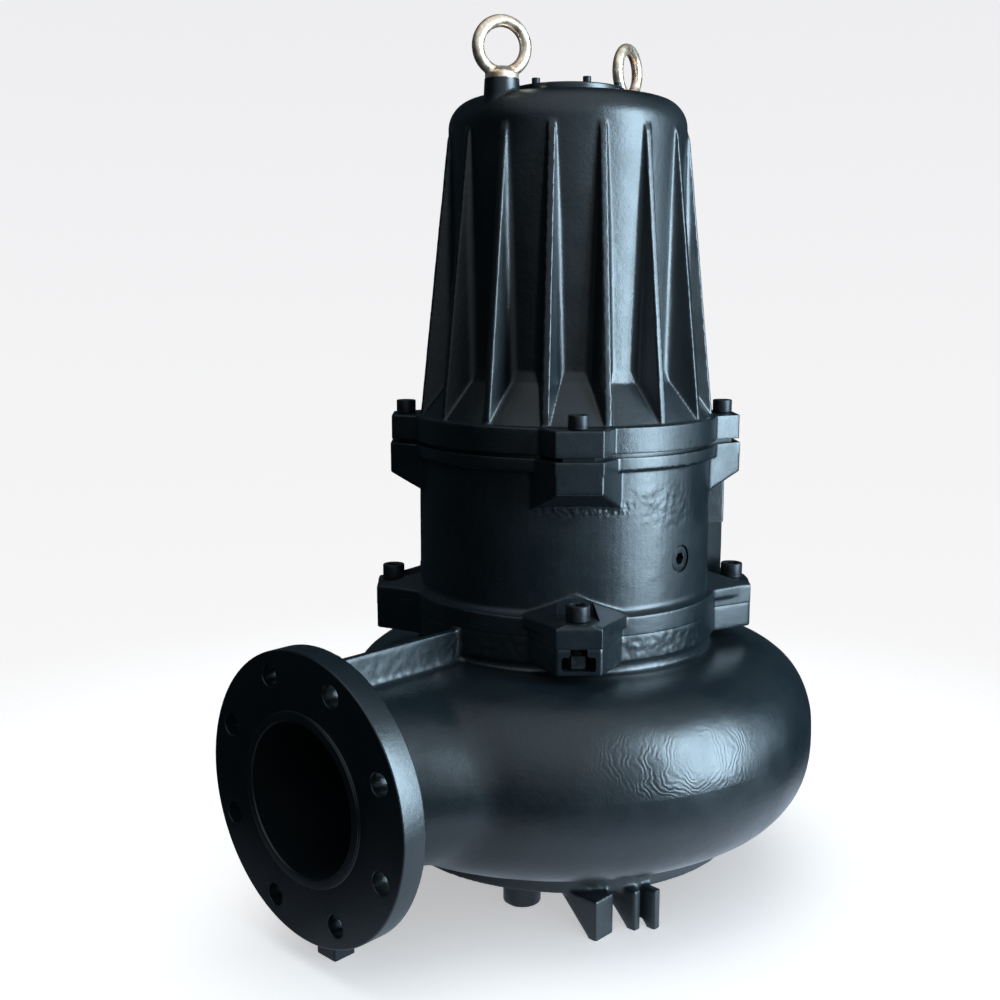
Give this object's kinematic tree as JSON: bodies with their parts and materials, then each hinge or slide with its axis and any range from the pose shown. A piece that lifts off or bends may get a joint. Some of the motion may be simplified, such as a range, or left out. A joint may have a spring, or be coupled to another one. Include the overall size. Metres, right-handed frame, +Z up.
{
  "type": "submersible sewage lift pump",
  "caption": "Vertical submersible sewage pump: ribbed motor housing on a round seal housing and a spiral casing with a flanged side outlet, on a cast ring with short legs.",
  "frame": {"origin": "on the floor, under the middle of the whole outline; the shaft stands 14.65 mm towards -X and 53.3 mm towards +Y of it", "axes": "+Z up along the shaft, the discharge flange faces -Y, +X is to the right seen from the discharge side"},
  "size_m": [0.5387, 0.6454, 0.9114],
  "materials": {
    "casing_enamel": "satin black epoxy enamel on cast iron",
    "stand_enamel": "satin black epoxy enamel on cast iron",
    "seal_housing_enamel": "satin black epoxy enamel on cast iron",
    "motor_enamel": "satin black epoxy enamel on cast iron",
    "cover_enamel": "satin black epoxy enamel on cast iron",
    "wear_ring_iron": "bare turned cast iron",
    "impeller_iron": "bare cast iron",
    "gland_enamel": "satin black",
    "bush_rubber": "matt black rubber",
    "screw_steel": "black oxide",
    "eye_bolt_steel": "bright zinc plated"
  },
  "bodies": {
    "root": {"volute_casing": "casing_enamel", "base_stand": "stand_enamel", "seal_housing": "seal_housing_enamel", "motor_housing": "motor_enamel", "top_cover": "cover_enamel", "suction_wear_ring": "wear_ring_iron", "impeller": "impeller_iron", "cable_gland": "gland_enamel", "cable_bush": "bush_rubber", "motor_flange_screw_left_front": "screw_steel", "motor_flange_screw_right_front": "screw_steel", "motor_flange_screw_right_rear": "screw_steel", "motor_flange_screw_left_rear": "screw_steel", "casing_screw_left_front": "screw_steel", "casing_screw_right_front": "screw_steel", "casing_screw_right_rear": "screw_steel", "casing_screw_left_rear": "screw_steel", "casing_nut_left_front": "screw_steel", "casing_nut_right_front": "screw_steel", "casing_nut_right_rear": "screw_steel", "casing_nut_left_rear": "screw_steel", "cover_screw_1": "screw_steel", "cover_screw_2": "screw_steel", "cover_screw_3": "screw_steel", "cover_screw_4": "screw_steel", "cover_screw_5": "screw_steel", "cover_screw_6": "screw_steel", "stand_screw_1": "screw_steel", "stand_screw_2": "screw_steel", "stand_screw_3": "screw_steel", "impeller_screw": "screw_steel", "oil_plug": "screw_steel", "eye_bolt_front": "eye_bolt_steel", "eye_bolt_rear": "eye_bolt_steel"}
  },
  "joints": []
}
